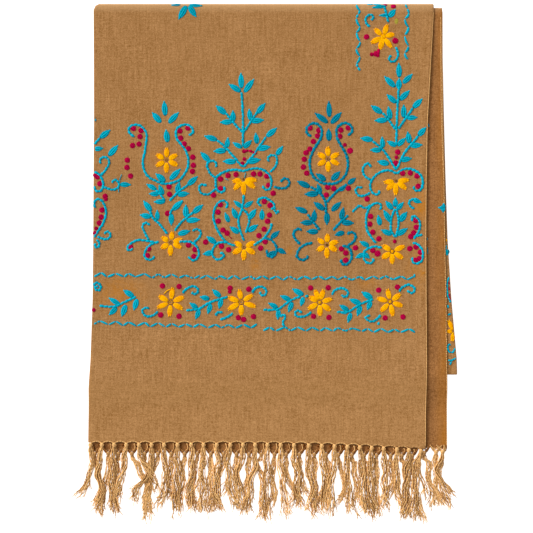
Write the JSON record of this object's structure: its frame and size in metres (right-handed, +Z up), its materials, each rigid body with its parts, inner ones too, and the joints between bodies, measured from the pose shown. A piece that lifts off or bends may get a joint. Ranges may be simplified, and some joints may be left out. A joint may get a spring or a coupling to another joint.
{
  "type": "embroidered pashmina shawl",
  "caption": "Tan woven shawl folded and laid flat, with a flower and pear embroidered end border, zigzag stitching and a knotted tassel fringe.",
  "frame": {"origin": "middle of the outline, on the surface that the shawl lies on", "axes": "+Z up off the surface, +Y from the fringe towards the top fold, +X towards the open selvedges, so the centre fold is at -X"},
  "size_m": [0.38, 0.521, 0.0089],
  "materials": {
    "cloth_face": "plain-woven fine wool, face side, matte",
    "cloth_reverse": "plain-woven fine wool, reverse side, matte",
    "fringe_yarn": "loose plied wool yarn, softly matte"
  },
  "bodies": {
    "root": {"front_layer": "cloth_face", "under_layer": "cloth_reverse", "back_layer": "cloth_face", "hidden_layers": "cloth_face", "front_fringe": "fringe_yarn", "under_fringe": "fringe_yarn"}
  },
  "joints": []
}
